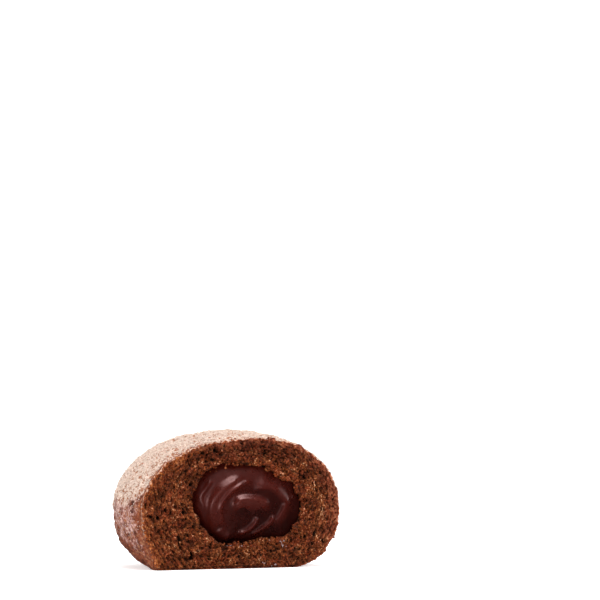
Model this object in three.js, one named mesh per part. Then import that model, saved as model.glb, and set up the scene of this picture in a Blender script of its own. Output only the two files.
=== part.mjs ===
// A chocolate-filled doughnut hole, cut open.
//
// A doughnut hole is a small ball of dough, fried until it has a thin brown crust. This one
// is chocolate dough. It rests on the underside that frying and cooling have flattened, and
// a knife has taken off its front, so that the crumb and a pocket of chocolate cream show.
//
// Millimetres, +Z up. The cut face looks along -Y, and +X is to the right of it. The shapes
// are worked out about the middle of the uncut ball. The finished group is then moved so
// that its origin is at the middle of the bottom of the whole part.

import * as THREE from "three";

// The uncut ball
const HALF_WIDTH = 23.3;
const HALF_DEPTH = 24.4;
const TOP = 28.4; // height of the crown
const WAIST = 12.1; // height of the widest section
const PLAN_POWER = 2.15; // 2 is an ellipse in plan, more is squarer
const SIDE_POWER = 3; // the same, for the profile from the side

// The cut
const CUT = 6.4; // from the ball's middle forward to the cut face
const PINCH_TOP = 0.088; // share of its height that the crust is drawn in by at the cut
const PINCH_SIDE = 0.015; // the same, for its width
const PINCH_REACH = 3.5; // how far behind the cut that goes
const LEAN = 3; // the crown stands this far right of the middle at the cut
const LEAN_REACH = 5; // and returns to the middle over this distance
// How square the corners of a section are, at the cut and far behind it
const POWERS = {
  topRight: [2.25, 2],
  topLeft: [2.1, 2],
  bottomLeft: [1.95, 2.45],
  bottomRight: [2.7, 3],
};
// How deep below the ground, which cuts it off, a section's curve would end at the same places
const FOOT_LEFT = [12, 2];
const FOOT_RIGHT = [0.9, 0.5];
const FOOT_BLEND = 0.35; // the two blend this far to each side of straight down, as a cosine

// Relief of the crust and the crumb
const LUMP = { size: 11, height: 0.45 };
const DENT = { size: 4.2, height: 0.16 };
const PIMPLE = { size: 1.7, height: 0.09 };
const SMOOTH_FOOT = 4; // the crust's relief fades out over this height above the ground
const CRUMB_SWELL = { size: 7, height: 0.35 };
const CRAG = { size: 1.25, height: 0.3 };
const PORE = { spacing: 1.9, narrowest: 0.45, widest: 0.95, deepest: 0.75 }; // radii
const EDGE_BAND = 0.8; // the crust's cut edge, where the crumb has no pores

// The pocket: the reach of its mouth from its middle, every 30 degrees from +X towards +Z
const POCKET_MIDDLE = [0.45, 13.3];
const MOUTH = [13.2, 10.9, 9, 8.7, 9.8, 11.6, 11.8, 10.6, 9.6, 8.4, 8.9, 12.4];
// Where crumb stands into the mouth, or is torn out of it: direction and half width in degrees
const TEARS = [
  { at: 37, wide: 9, reach: -0.7 },
  { at: 21, wide: 5, reach: 0.8 },
  { at: 257, wide: 6, reach: -0.4 },
  { at: 243, wide: 5, reach: 0.3 },
  { at: 305, wide: 14, reach: -0.5 },
];
const POCKET_DEPTH = 11;
const WALL_POWER = 0.7; // under 1 keeps the pocket's wall upright near the mouth
const BOTTOM_POWER = 1.2; // over 1 rounds its bottom
const LIP = { size: 2.3, height: 0.18 }; // ragged edge of the mouth
const LIP_DEPTH = 0.4;
const MOUTH_BAND = 1.5; // this near the mouth the crumb stays in front of the cream's edge
const MOUTH_ROOM = 0.3; // by this much,
const LIP_ROOM = 0.15; // and the lip by this much

// The chocolate cream
const GAP = 0.3; // between cream and crumb
const SUNK = 1.2; // the cream's edge lies this far behind the cut face,
const SUNK_TILT = 0.8; // this much farther on the left, and this much less on the right
const DOME = 1.9; // its middle stands this far in front of its edge
const DOME_FLATNESS = 2.4; // more gives the dome a flatter top
// Where the dome ends sooner: direction and half width in degrees, and share of its reach
const DRAWN_BACK = [
  { at: 172, wide: 30, share: 0.07 },
  { at: 215, wide: 20, share: 0.06 },
  { at: 95, wide: 40, share: 0.03 },
  { at: 268, wide: 30, share: 0.03 },
];
const SWIRL_EDGE = 0.25; // the swirl fades out over this share of the cream's reach
const SWIRL_MIDDLE = [2.6, 12.4];
// The swirl's ridges, each along a smooth curve through a few places about the swirl's middle.
// The crest lies to the left of the curve by `crest`, seen along it, and falls off over the
// widths `left` and `right`
const RIDGES = {
  band: {
    left: 1.6,
    right: 0.75,
    height: 0.72,
    crest: 0.6,
    places: [[-2.2, 6.6], [-5.1, 5.9], [-8.6, 3.5], [-10.1, 0], [-9.4, -3.8], [-8, -5.2]],
  },
  insideOfBand: {
    left: 0.4,
    right: 0.45,
    height: 0.5,
    crest: 0.4,
    places: [[-0.6, 5.9], [-3.4, 5.1], [-6.5, 3], [-8.2, 0], [-7.4, -3], [-6, -4.2]],
  },
  blob: {
    left: 0.75,
    right: 1.7,
    height: 0.95,
    crest: -0.55,
    places: [[-4.4, -1.2], [-4.8, 0.2], [-3.8, 2.1], [-0.5, 2.3], [2.5, 1.4], [3.3, -0.8]],
  },
  fold: {
    left: 0.5,
    right: 0.5,
    height: 0.68,
    crest: 0.4,
    places: [[-0.3, -1.7], [-0.2, -2.7], [-1.1, -3.8], [-2.4, -4.6], [-3.9, -4.9]],
  },
  secondFold: {
    left: 0.5,
    right: 0.45,
    height: 0.63,
    crest: 0.4,
    places: [[4, -1], [3.4, -2.5], [2, -3.6], [0.6, -4.6], [-1.2, -5.5]],
  },
  arc: {
    left: 1.5,
    right: 0.45,
    height: 0.6,
    crest: 0.2,
    places: [[-0.5, 3.7], [3.3, 3.9], [6.1, 1.8], [6.7, 0.5], [5.1, -2.2], [3.6, -3.6]],
  },
  leftEdge: {
    left: 0.5,
    right: 0.45,
    height: 0.45,
    crest: 0.3,
    places: [[-9.2, 6.3], [-11.4, 3.3], [-11.8, 1.7], [-11.4, 0.4], [-11.6, -0.8], [-10.9, -2.4]],
  },
  rightEdge: {
    left: 0.7,
    right: 0.5,
    height: 0.45,
    crest: 0,
    places: [[9, 4.2], [9.1, 3.2], [8.8, 2.3], [8.7, 1.4]],
  },
  foot: {
    left: 1,
    right: 1,
    height: 0.5,
    crest: 0,
    places: [[-8.1, -4.5], [-6.7, -5.7], [-5.1, -6.4]],
  },
};
const RIDGE_ENDS = 0.2; // a ridge rises and sinks over this share of its length at each end

// How finely the surfaces are divided
const CRUST_CELLS = 30; // along a side of the crust's square grid
const FACE_RINGS = 17;
const HOLLOW_RINGS = 4; // of the pocket, and of the back of the cream in it
const CREAM_CELLS = 40;
const SECTION_STEPS = 720; // for spacing columns evenly round the cut
const RIDGE_STEPS = 24;

// Repeatable unevenness

// A number from 0 to 1 that depends only on three whole numbers.
function hash(i, j, k) {
  let h = Math.imul(i, 374761393) + Math.imul(j, 668265263) + Math.imul(k, 1440662683);
  h = Math.imul(h ^ (h >>> 13), 1274126177);
  return ((h ^ (h >>> 16)) >>> 0) / 4294967296;
}

const mix = (a, b, t) => a + (b - a) * t;
const smooth = (t) => {
  const c = Math.min(1, Math.max(0, t));
  return c * c * (3 - 2 * c);
};

// Smooth noise from -1 to 1 whose swells are about `size` across.
function noise(x, y, z, size) {
  const place = [x / size, y / size, z / size];
  const [i, j, k] = place.map(Math.floor);
  const [u, v, w] = place.map((p) => smooth(p - Math.floor(p)));
  const edge = (b, c) => mix(hash(i, j + b, k + c), hash(i + 1, j + b, k + c), u);
  return 2 * mix(mix(edge(0, 0), edge(1, 0), v), mix(edge(0, 1), edge(1, 1), v), w) - 1;
}

const relief = (x, y, z, { size, height }) => height * noise(x, y, z, size);

// The ball

// What is left, at depth y, of an effect that the cut has on the crust.
const nearCut = (y, reach) => Math.exp(-(y + CUT) / reach);

// The place [x, z] on the crust's section at depth y, in the direction `angle` from +X.
function sectionPlace(angle, y) {
  const back = Math.min(1, Math.abs(y) / HALF_DEPTH);
  const narrowing = (1 - back ** PLAN_POWER) ** (1 / PLAN_POWER);
  const lowering = (1 - back ** SIDE_POWER) ** (1 / SIDE_POWER);
  const pinch = nearCut(y, PINCH_REACH);
  const fading = nearCut(y, LEAN_REACH);
  const wide = HALF_WIDTH * narrowing * (1 - PINCH_SIDE * pinch);
  const lean = LEAN * fading * narrowing;
  const [c, s] = [Math.cos(angle), Math.sin(angle)];
  const across = Math.max(1e-6, c > 0 ? wide - lean : wide + lean);
  const faded = ([cut, far]) => mix(far, cut, fading);
  const power = faded(POWERS[(s > 0 ? "top" : "bottom") + (c > 0 ? "Right" : "Left")]);
  const foot = mix(faded(FOOT_LEFT), faded(FOOT_RIGHT), smooth(0.5 + c / (2 * FOOT_BLEND)));
  const rise = (TOP - WAIST) * (1 - PINCH_TOP * pinch);
  const tall = Math.max(1e-6, lowering * (s > 0 ? rise : WAIST + foot));
  const round = (Math.abs(c / across) ** power + Math.abs(s / tall) ** power) ** (-1 / power);
  const reach = s < 0 ? Math.min(round, -WAIST / s) : round;
  return [lean + reach * c, WAIST + reach * s];
}

// Directions that divide the cut's outline into `count` equal lengths.
function columnAngles(count) {
  const lengths = [0];
  for (let i = 1; i <= SECTION_STEPS; i++) {
    const [a, b] = [i - 1, i].map((n) => sectionPlace((n / SECTION_STEPS) * 2 * Math.PI, -CUT));
    lengths.push(lengths[i - 1] + Math.hypot(b[0] - a[0], b[1] - a[1]));
  }
  const angles = [];
  let step = 0;
  for (let k = 0; k <= count; k++) {
    const wanted = (lengths[SECTION_STEPS] * k) / count;
    while (step < SECTION_STEPS - 1 && lengths[step + 1] < wanted) step++;
    const part = (wanted - lengths[step]) / (lengths[step + 1] - lengths[step]);
    angles.push(((step + part) / SECTION_STEPS) * 2 * Math.PI);
  }
  return angles;
}

// A point on the crust: share 1 is the cut's edge and 0 the back of the ball.
function crustPoint(angle, share) {
  const latitude = Math.PI / 2 - share * (Math.PI / 2 + Math.asin(CUT / HALF_DEPTH));
  const y = HALF_DEPTH * Math.sin(latitude);
  const [x, z] = sectionPlace(angle, y);
  const out = new THREE.Vector3(x, y, z - WAIST).normalize();
  const rough = [LUMP, DENT, PIMPLE].reduce((sum, r) => sum + relief(x, y, z, r), 0);
  out.multiplyScalar(rough * smooth(z / SMOOTH_FOOT)); // the underside stays flat
  // The edge stays in the cut's plane, where the face begins
  const held = smooth((y + CUT) / EDGE_BAND);
  return new THREE.Vector3(x + out.x, y + out.y * held, Math.max(0, z + out.z));
}

// The cut face

// How far the nearest pores sink the crumb at a place on the face.
function poreDepth(x, z) {
  const [i, k] = [Math.floor(x / PORE.spacing), Math.floor(z / PORE.spacing)];
  let depth = 0;
  for (let a = i - 1; a <= i + 1; a++) {
    for (let b = k - 1; b <= k + 1; b++) {
      const middle = [(a + hash(a, b, 1)) * PORE.spacing, (b + hash(a, b, 2)) * PORE.spacing];
      const radius = mix(PORE.narrowest, PORE.widest, hash(a, b, 3));
      const near = Math.min(1, Math.hypot(x - middle[0], z - middle[1]) / radius);
      depth = Math.max(depth, PORE.deepest * hash(a, b, 4) * Math.sqrt(1 - near * near));
    }
  }
  return depth;
}

// Depth of the crumb's surface at [x, z], where `inside` is the distance from the crust's edge.
function faceDepth(x, z, inside) {
  const crumb = smooth(inside / EDGE_BAND);
  const swell = relief(x, 0, z, CRUMB_SWELL);
  return -CUT + crumb * (swell + relief(x, 0, z, CRAG) + poreDepth(x, z));
}

// The pocket

// Reach of the pocket's mouth in a direction: a smooth closed curve through MOUTH, and TEARS.
function mouthReach(angle) {
  const n = MOUTH.length;
  const turn = THREE.MathUtils.euclideanModulo(angle / (2 * Math.PI), 1);
  const i = Math.floor(turn * n);
  const t = turn * n - i;
  const [a, b, c, d] = [-1, 0, 1, 2].map((s) => MOUTH[(i + s + n) % n]);
  const even = b + 0.5 * t * (c - a + t * (2 * a - 5 * b + 4 * c - d + t * (3 * (b - c) + d - a)));
  const torn = ({ at, wide, reach }) => reach * Math.exp(-(((turn * 360 - at) / wide) ** 2));
  return TEARS.reduce((sum, tear) => sum + torn(tear), even);
}

// A place [x, z] in a direction from the pocket's middle.
const fromPocket = (angle, reach) => [
  POCKET_MIDDLE[0] + reach * Math.cos(angle),
  POCKET_MIDDLE[1] + reach * Math.sin(angle),
];

// How far the cream's edge lies behind the cut face in a direction.
const rimDepth = (angle) => SUNK - SUNK_TILT * Math.cos(angle);

// A point on the pocket's rounded wall, or `inward` of it. Turn 0 is where the cream's edge
// meets the wall, and 1 the bottom.
function hollowPoint(angle, turn, inward) {
  const bend = (turn * Math.PI) / 2;
  const [x, z] = fromPocket(angle, (mouthReach(angle) - inward) * Math.cos(bend) ** WALL_POWER);
  const depth = mix(rimDepth(angle), POCKET_DEPTH - inward, Math.sin(bend) ** BOTTOM_POWER);
  return new THREE.Vector3(x, depth - CUT, z);
}

// Closed surfaces

// Collects vertices and triangles of one closed surface.
class Surface {
  points = [];
  triangles = [];

  add(point) {
    this.points.push(point.x, point.y, point.z);
    return this.points.length / 3 - 1;
  }

  quad(a, b, c, d) {
    this.triangles.push(a, b, c, a, c, d);
  }

  // A disc from a square grid, so that no point has crowded triangles round it. Returns its
  // rim's vertices in order. pointAt takes the column round the rim and the share outward.
  disc(cells, pointAt) {
    const rim = new Array(4 * cells);
    const grid = [];
    for (let i = 0; i <= cells; i++) {
      grid.push([]);
      for (let j = 0; j <= cells; j++) {
        const [u, v] = [(2 * i) / cells - 1, (2 * j) / cells - 1];
        const share = Math.max(Math.abs(u), Math.abs(v));
        const column = share ? squareColumn(u / share, v / share) * cells : 0;
        grid[i].push(this.add(pointAt(column, share)));
        if (share === 1) rim[Math.round(column) % (4 * cells)] = grid[i][j];
      }
    }
    for (let i = 0; i < cells; i++) {
      for (let j = 0; j < cells; j++) {
        const corners = [grid[i][j], grid[i][j + 1], grid[i + 1][j + 1], grid[i + 1][j]];
        // Each quad is split along the diagonal that points away from the middle
        if ((i < cells / 2) !== (j < cells / 2)) corners.push(corners.shift());
        this.quad(...corners);
      }
    }
    return rim;
  }

  // A band from one ring of vertices to a new one.
  band(ring, pointAt) {
    const next = ring.map((_, column) => this.add(pointAt(column)));
    ring.forEach((vertex, i) => {
      const j = (i + 1) % ring.length;
      this.quad(vertex, ring[j], next[j], next[i]);
    });
    return next;
  }

  // Closes a ring with a fan to one point.
  cap(ring, point) {
    const tip = this.add(point);
    ring.forEach((vertex, i) => this.triangles.push(vertex, ring[(i + 1) % ring.length], tip));
  }

  // The surface as a geometry, turned inside out if its disc is at the front.
  geometry(discAtFront = false) {
    if (discAtFront) this.triangles.reverse();
    const made = new THREE.BufferGeometry();
    made.setAttribute("position", new THREE.Float32BufferAttribute(this.points, 3));
    made.setIndex(this.triangles);
    made.computeVertexNormals();
    return made;
  }
}

// Where a point on the rim of the square [-1, 1] lies along it, from 0 to 4 from +u towards +v.
function squareColumn(u, v) {
  if (u === 1) return (v / 2 + 4) % 4;
  if (v === 1) return 1 - u / 2;
  if (u === -1) return 2 - v / 2;
  return 3 + u / 2;
}

// The direction at a column that may lie between two whole ones.
function angleAt(angles, column) {
  const whole = Math.floor(column);
  const part = column - whole;
  return part ? mix(angles[whole], angles[whole + 1], part) : angles[whole];
}

// The dough: crust, cut face and pocket in one piece

function doughGeometry() {
  const surface = new Surface();
  const angles = columnAngles(4 * CRUST_CELLS);
  const onCrust = (column, share) => crustPoint(angleAt(angles, column), share);
  let ring = surface.disc(CRUST_CELLS, onCrust);

  // Each column of the face runs straight from the crust to the pocket's mouth
  const columns = angles.slice(0, -1).map((angle) => {
    const [x, z] = sectionPlace(angle, -CUT);
    const inward = Math.atan2(z - POCKET_MIDDLE[1], x - POCKET_MIDDLE[0]);
    const edge = crustPoint(angle, 1);
    const mouth = fromPocket(inward, mouthReach(inward));
    return { inward, edge, mouth, span: Math.hypot(edge.x - mouth[0], edge.z - mouth[1]) };
  });
  for (let r = 1; r <= FACE_RINGS; r++) {
    const share = r / FACE_RINGS;
    ring = surface.band(ring, (i) => {
      const { inward, edge, mouth, span } = columns[i];
      const [x, z] = [mix(edge.x, mouth[0], share), mix(edge.z, mouth[1], share)];
      const depth = faceDepth(x, z, share * span);
      const held = Math.min(depth, rimDepth(inward) - CUT - MOUTH_ROOM);
      return new THREE.Vector3(x, mix(held, depth, smooth(((1 - share) * span) / MOUTH_BAND)), z);
    });
  }

  // The ragged lip, then the pocket's wall and bottom
  ring = surface.band(ring, (i) => {
    const { inward, mouth } = columns[i];
    const ragged = LIP.height * (1 + noise(mouth[0], 0, mouth[1], LIP.size));
    const [x, z] = fromPocket(inward, mouthReach(inward) - ragged);
    const depth = faceDepth(...mouth, EDGE_BAND) + LIP_DEPTH;
    return new THREE.Vector3(x, Math.min(depth, rimDepth(inward) - CUT - LIP_ROOM), z);
  });
  for (let r = 0; r < HOLLOW_RINGS; r++) {
    ring = surface.band(ring, (i) => hollowPoint(columns[i].inward, r / HOLLOW_RINGS, 0));
  }
  surface.cap(ring, hollowPoint(0, 1, 0));
  return surface.geometry();
}

// The chocolate cream

// The curve of a ridge as RIDGE_STEPS straight steps.
function ridgePoints({ places }) {
  const curve = new THREE.CatmullRomCurve3(
    places.map(([x, z]) => new THREE.Vector3(x + SWIRL_MIDDLE[0], 0, z + SWIRL_MIDDLE[1])),
  );
  return curve.getSpacedPoints(RIDGE_STEPS);
}

const ridges = Object.values(RIDGES).map((ridge) => ({ ...ridge, points: ridgePoints(ridge) }));

// The nearest place on a ridge's curve: distance to it, from 0 to 1 how far along it is, and
// the side that [x, z] is on, 1 for the left and -1 for the right.
function nearestOnRidge(x, z, points) {
  let nearest = { distance: Infinity };
  for (let i = 0; i < RIDGE_STEPS; i++) {
    const [a, b] = [points[i], points[i + 1]];
    const [alongX, alongZ] = [b.x - a.x, b.z - a.z];
    const ahead = ((x - a.x) * alongX + (z - a.z) * alongZ) / (alongX ** 2 + alongZ ** 2);
    const t = Math.min(1, Math.max(0, ahead));
    const [offX, offZ] = [x - a.x - alongX * t, z - a.z - alongZ * t];
    const distance = Math.hypot(offX, offZ);
    if (distance < nearest.distance) {
      nearest = { distance, along: (i + t) / RIDGE_STEPS, side: Math.sign(alongX * offZ - alongZ * offX) };
    }
  }
  return nearest;
}

// How far the swirl lifts the cream at [x, z]. A ridge rises from nothing and sinks away again.
function swirlHeight(x, z) {
  let lifted = 0;
  for (const { left, right, height, crest, points } of ridges) {
    const { distance, along, side } = nearestOnRidge(x, z, points);
    const offCrest = side * distance - crest;
    const rise = height * smooth(Math.min(along, 1 - along) / RIDGE_ENDS);
    lifted += rise * Math.exp(-((offCrest / (offCrest > 0 ? left : right)) ** 2));
  }
  return lifted;
}

// How much sooner the dome ends in a direction, as a share of the cream's reach.
function drawnBack(angle) {
  const degrees = THREE.MathUtils.radToDeg(angle);
  const drawn = ({ at, wide, share }) => {
    const turned = THREE.MathUtils.euclideanModulo(degrees - at + 180, 360) - 180;
    return share * Math.exp(-((turned / wide) ** 2));
  };
  return DRAWN_BACK.reduce((sum, place) => sum + drawn(place), 0);
}

// A point on the cream's front: share 1 is its edge and 0 its middle.
function creamPoint(angle, share) {
  const [x, z] = fromPocket(angle, (mouthReach(angle) - GAP) * share);
  const onDome = Math.min(1, share * (1 + drawnBack(angle)));
  const dome = DOME * (1 - onDome ** DOME_FLATNESS);
  const swirl = swirlHeight(x, z) * smooth((1 - onDome) / SWIRL_EDGE);
  const edge = mix(SUNK, rimDepth(angle), share ** 2);
  return new THREE.Vector3(x, -CUT + edge - dome - swirl, z);
}

function creamGeometry() {
  const surface = new Surface();
  const angleOf = (column) => (column / (4 * CREAM_CELLS)) * 2 * Math.PI;
  let ring = surface.disc(CREAM_CELLS, (column, share) => creamPoint(angleOf(column), share));
  for (let r = 1; r < HOLLOW_RINGS; r++) {
    ring = surface.band(ring, (i) => hollowPoint(angleOf(i), r / HOLLOW_RINGS, GAP));
  }
  surface.cap(ring, hollowPoint(0, 1, GAP));
  return surface.geometry(true);
}

// The part

const doughMaterial = new THREE.MeshStandardMaterial({ color: "#6f3a20", roughness: 0.9, metalness: 0 });
const creamMaterial = new THREE.MeshStandardMaterial({ color: "#3a1917", roughness: 0.3, metalness: 0 });

const doughnutHole = new THREE.Group();

const dough = new THREE.Mesh(doughGeometry(), doughMaterial);
dough.name = "dough";
doughnutHole.add(dough);

const cream = new THREE.Mesh(creamGeometry(), creamMaterial);
cream.name = "cream";
doughnutHole.add(cream);

const bounds = new THREE.Box3().setFromObject(doughnutHole);
const middle = bounds.getCenter(new THREE.Vector3());
doughnutHole.children.forEach((mesh) => mesh.position.set(-middle.x, -middle.y, -bounds.min.z));

export default doughnutHole;
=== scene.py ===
"""A chocolate-filled doughnut hole, cut open: its crumb, crust, cream and sugar."""
import math

import bpy
import numpy as np
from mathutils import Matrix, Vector


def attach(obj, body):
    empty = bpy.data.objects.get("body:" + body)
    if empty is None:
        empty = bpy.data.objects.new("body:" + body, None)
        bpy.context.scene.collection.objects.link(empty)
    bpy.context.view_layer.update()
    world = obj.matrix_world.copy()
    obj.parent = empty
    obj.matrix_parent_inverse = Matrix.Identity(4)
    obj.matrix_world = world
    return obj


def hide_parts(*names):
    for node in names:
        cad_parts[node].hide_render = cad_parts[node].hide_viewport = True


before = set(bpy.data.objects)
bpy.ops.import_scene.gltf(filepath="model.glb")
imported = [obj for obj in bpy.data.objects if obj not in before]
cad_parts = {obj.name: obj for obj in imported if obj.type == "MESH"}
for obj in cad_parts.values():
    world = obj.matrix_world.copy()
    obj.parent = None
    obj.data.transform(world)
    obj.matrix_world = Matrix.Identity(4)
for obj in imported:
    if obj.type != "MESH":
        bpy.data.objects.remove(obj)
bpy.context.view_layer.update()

# Sizes are in millimetres, about the middle of the uncut ball, until a mesh is made. Tables of
# relief hold the size of its swells and their height
MM = 0.001

# The uncut ball, as in the frame
HALF_WIDTH = 23.3
HALF_DEPTH = 24.4
TOP = 28.4
WAIST = 12.1
PLAN_POWER = 2.15  # 2 is an ellipse in plan, more is squarer
SIDE_POWER = 3.0  # the same, from the side

# The cut, as in the frame
CUT = 6.4  # from the ball's middle forward to the cut face
# How far the crust is drawn in at the cut, as shares of its height and width
PINCH_TOP = 0.088
PINCH_SIDE = 0.015
PINCH_REACH = 3.5
LEAN = 3.0  # the crown stands this far right of the middle at the cut
LEAN_REACH = 5.0
# How square a section's corners are, and how deep below the ground its curve would end, each
# at the cut and far behind it
TOP_RIGHT = (2.25, 2.0)
TOP_LEFT = (2.1, 2.0)
BOTTOM_LEFT = (1.95, 2.45)
BOTTOM_RIGHT = (2.7, 3.0)
FOOT_LEFT = (12.0, 2.0)
FOOT_RIGHT = (0.9, 0.5)
FOOT_BLEND = 0.35

# The pocket, as in the frame: its mouth's reach every 30 degrees, and where crumb stands in or
# is torn out: direction and half width in degrees, and reach
POCKET_MIDDLE = (0.45, 13.3)
MOUTH = (13.2, 10.9, 9, 8.7, 9.8, 11.6, 11.8, 10.6, 9.6, 8.4, 8.9, 12.4)
TEARS = ((37, 9, -0.7), (21, 5, 0.8), (257, 6, -0.4), (243, 5, 0.3), (305, 14, -0.5))
POCKET_DEPTH = 11.0
WALL_POWER = 0.7  # under 1 keeps the wall upright
BOTTOM_POWER = 1.2  # over 1 rounds the bottom
# The lip of crumb round the mouth, in steps: shares of its depth and of how far it stands in
LIP_HEIGHT = 0.3
LIP_RELIEF = [(2.6, 0.3), (1.2, 0.3), (0.5, 0.15)]
LIP_DEPTH = 0.4
LIP_STEPS = ((0.5, 1.0), (1.0, 0.55))
# Near the mouth crumb and lip stay this far in front of the cream's edge
MOUTH_BAND = 1.5
MOUTH_ROOM = 0.3
LIP_ROOM = 0.15

# The cream, as in the frame
GAP = 0.3  # between cream and crumb
SUNK = 1.2  # the cream's edge lies this far behind the cut,
SUNK_TILT = 0.8  # and this much farther on the left
DOME = 1.9
DOME_FLATNESS = 2.4
SWIRL_EDGE = 0.25
SWIRL_MIDDLE = (2.6, 12.4)
# Where the dome ends sooner: direction and half width in degrees, and share of its reach
DRAWN_BACK = ((172, 30, 0.07), (215, 20, 0.06), (95, 40, 0.03), (268, 30, 0.03))
# The groove beside the dough: depth, direction and half width, and the share of reach where it
# starts
GROOVE = (1.3, 208, 58, 0.83)
# Ridges of the swirl: widths to the left and right of the crest, height, how far left of its
# line the crest lies, and the line about the swirl's middle
RIDGES = {
    "band": (1.6, 0.75, 0.72, 0.6, [
        (-2.2, 6.6), (-5.1, 5.9), (-8.6, 3.5), (-10.1, 0), (-9.4, -3.8), (-8, -5.2)]),
    "inside of band": (0.4, 0.45, 0.5, 0.4, [
        (-0.6, 5.9), (-3.4, 5.1), (-6.5, 3), (-8.2, 0), (-7.4, -3), (-6, -4.2)]),
    "blob": (0.75, 1.7, 0.95, -0.55, [
        (-4.4, -1.2), (-4.8, 0.2), (-3.8, 2.1), (-0.5, 2.3), (2.5, 1.4), (3.3, -0.8)]),
    "fold": (0.5, 0.5, 0.68, 0.4, [
        (-0.3, -1.7), (-0.2, -2.7), (-1.1, -3.8), (-2.4, -4.6), (-3.9, -4.9)]),
    "second fold": (0.5, 0.45, 0.63, 0.4, [
        (4.0, -1.0), (3.4, -2.5), (2.0, -3.6), (0.6, -4.6), (-1.2, -5.5)]),
    "arc": (1.5, 0.45, 0.6, 0.2, [
        (-0.5, 3.7), (3.3, 3.9), (6.1, 1.8), (6.7, 0.5), (5.1, -2.2), (3.6, -3.6)]),
    "left edge": (0.5, 0.45, 0.45, 0.3, [
        (-9.2, 6.3), (-11.4, 3.3), (-11.8, 1.7), (-11.4, 0.4), (-11.6, -0.8), (-10.9, -2.4)]),
    "right edge": (0.7, 0.5, 0.45, 0.0, [(9, 4.2), (9.1, 3.2), (8.8, 2.3), (8.7, 1.4)]),
    "foot": (1.0, 1.0, 0.5, 0.0, [(-8.1, -4.5), (-6.7, -5.7), (-5.1, -6.4)]),
}
RIDGE_ENDS = 0.2  # share of its length in which a ridge rises, and in which it sinks
# Painted light and shade in the cream's colour: ridges are painted lighter than the valleys, and so is
# its upper left outside of the swirl, where light falls
RIDGE_PAINTED_LIGHT = 0.9
UPPER_PAINTED_LIGHT = 0.35
SWIRL_REACH = 5.5
TONE_SLANT = 0.6
TONE_FADE = 16

# Relief of the crust, coarse and fine, and how high above the ground each has its full height
CRUST_COARSE = [(11.0, 0.45), (4.2, 0.16)]
CRUST_FINE = [(1.7, 0.16), (0.8, 0.19), (0.42, 0.1)]
SMOOTH_FOOT = 4.0
FINE_FOOT = 1.2
# Pits in the crust: spacing, radius, depth, and the share of places that have one
PITS = [(1.15, 0.36, 0.3, 0.85), (0.75, 0.26, 0.18, 0.75)]
PIT_SIZES = (0.6, 1.1)
# The crust's thickness, a ring round the cut. Its steps are a share of the width and a depth
RIND = 0.65
RIND_WAVES = [(1.3, 0.55)]
RIND_LEFT = 0.5
RIND_STEPS = (
    (0.1, -0.02), (0.22, -0.04), (0.36, -0.04), (0.5, -0.02), (0.66, 0.0), (0.82, 0.08), (1.0, 0.35),
)
RIND_RELIEF = [(0.9, 0.16), (0.45, 0.13), (0.25, 0.07)]
RIND_RISE = 0.2  # its relief comes in over this share of its width
RIND_EVENING = 0.7  # it loses this share of the edge's raggedness
# Raggedness of the cut's edge, which fades behind it
RAGGED = [(2.5, 0.18), (1.0, 0.26), (0.5, 0.2)]
RAGGED_REACH = 0.8
RAGGED_OUT = 0.6
EDGE_BAND = 0.6
FOOT_TUCK = 0.45  # the cut's lowest edge is tucked back by this much,
FOOT_ROUND = 0.5  # up to this height

# Relief of the crumb. Its lumps have a spacing and a height
CRUMB_RELIEF = [(7.0, 0.35), (1.25, 0.14), (0.5, 0.08)]
LUMPS = [(2.1, 0.36), (1.0, 0.26), (0.5, 0.2)]
LUMP_RADII = (0.65, 1.0)  # shares of the spacing
LUMP_BEND = [(0.7, 0.25)]  # relief of their outlines
LUMP_LEVEL = 0.6  # the crumb's own level, as a share of their height
RIND_TUCK = 0.3  # the crumb begins this far inside of the crust's edge,
RIND_LEVEL = 0.15  # this far behind the cut,
TUCK_BACK = (0.2, 0.6)  # and turns back there by this much, inward and behind the cut
# Pores: spacing, narrowest and widest radius, depth, and the share of places that have one
PORES = [(2.6, 0.35, 0.7, 1.1, 0.3), (1.15, 0.2, 0.42, 0.8, 0.7), (0.6, 0.13, 0.25, 0.5, 0.8)]
PORE_SHALLOWEST = 0.4  # share of the depth
# Pores near the crust are drawn out along it: how much, and start and reach as shares of the
# half width
PORE_STRETCH = (0.7, 0.45, 0.4)
# Larger holes: x, z and radius
HOLES = (
    (-18.7, 10.6, 0.45), (-20.2, 10.8, 0.35), (-11.4, 2.4, 0.5), (3.7, 2.9, 0.4), (5.5, 2.7, 0.35),
    (14.3, 6.4, 0.45), (16.1, 4.9, 0.4), (18.7, 5.3, 0.45), (18.0, 19.7, 0.4), (19.2, 18.6, 0.35),
    (21.3, 14.2, 0.35), (-6.3, 24.3, 0.4), (-9.0, 23.7, 0.35), (-7.9, 23.7, 0.3), (-13.2, 11.7, 0.4),
    (-17.2, 12.2, 0.35), (5.3, 24.1, 0.35), (-11.7, 17.2, 0.4),
)
HOLE_DEPTH = 1.4
HOLE_WAVES = [(0.6, 0.35)]  # relief of their outlines

# Colours of the crumb. Changes towards an end of the face have a start and a reach along x
LEFT_SIDE = (3, 8)
LEFT_END = (6, 8)
RIGHT_END = (5, 10)
FAR_RIGHT = (12, 8)
# Painted shade in the crumb: how dark pores are painted for each mm, creases between lumps, and a painted
# contact shadow at the foot, up to a height
PORE_PAINTED_SHADE = 1.3
CREASE_PAINTED_SHADE = 0.45
FINE_LIGHT = 0.5
FOOT_PAINTED_SHADOW = (0.7, 0.4)
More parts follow.
